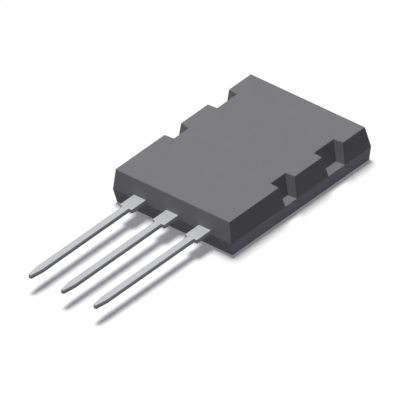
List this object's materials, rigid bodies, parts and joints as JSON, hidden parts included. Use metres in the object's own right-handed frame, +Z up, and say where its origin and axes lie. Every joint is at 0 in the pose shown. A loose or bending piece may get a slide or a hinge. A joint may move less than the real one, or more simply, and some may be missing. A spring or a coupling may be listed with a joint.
{
  "type": "power transistor",
  "caption": "Holeless moulded power transistor with a waisted, drafted and notched body, a bare copper mounting pad and straight flat leads with wide roots.",
  "frame": {"origin": "middle of the flat mounting face on the underside", "axes": "+Z up through the body, +Y along the body away from the leads, +X across the leads towards the emitter lead"},
  "size_m": [0.02, 0.0464, 0.005],
  "materials": {
    "mould_compound": "fine matt moulded epoxy",
    "plated_copper": "matt tin plating on copper",
    "solder": "dull soft solder",
    "silicon": "polished silicon with aluminium pads",
    "bond_aluminium": "bright drawn wire"
  },
  "bodies": {
    "root": {"molded_body": "mould_compound", "collector_frame": "plated_copper", "gate_lead": "plated_copper", "emitter_lead": "plated_copper", "die_attach": "solder", "silicon_die": "silicon", "gate_wire": "bond_aluminium", "emitter_wire_1": "bond_aluminium", "emitter_wire_2": "bond_aluminium", "emitter_wire_3": "bond_aluminium", "emitter_wire_4": "bond_aluminium", "emitter_wire_5": "bond_aluminium", "emitter_wire_6": "bond_aluminium"}
  },
  "joints": []
}
